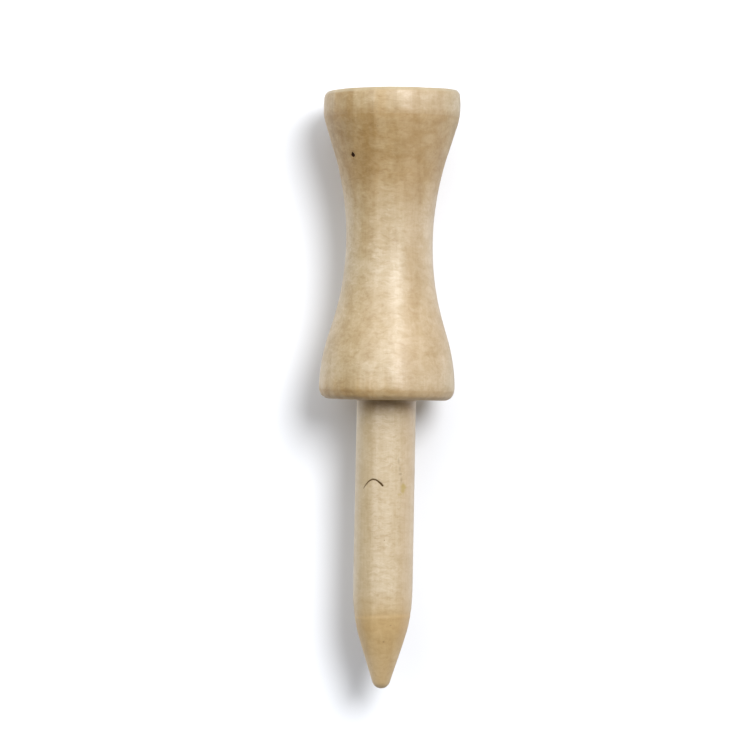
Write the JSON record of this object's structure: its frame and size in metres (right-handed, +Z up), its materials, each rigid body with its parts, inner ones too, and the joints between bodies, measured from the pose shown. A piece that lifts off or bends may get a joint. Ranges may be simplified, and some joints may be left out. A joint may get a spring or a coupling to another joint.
{
  "type": "golf tee",
  "caption": "Step-down golf tee turned in one piece from a wooden dowel: cupped rim, waisted head with a flat stop shoulder, and a straight round peg with a rounded point.",
  "frame": {"origin": "on the turning axis, in the plane of the flat shoulder that stops on the turf", "axes": "+Z up the turning axis, from the point through the shoulder to the cup; X and Y are equivalent, because the tee is round"},
  "size_m": [0.0126, 0.0126, 0.0554],
  "materials": {
    "wood": "pale close-grained hardwood, tumbled smooth under a thin clear satin lacquer"
  },
  "bodies": {
    "root": {"turned_tee": "wood"}
  },
  "joints": []
}
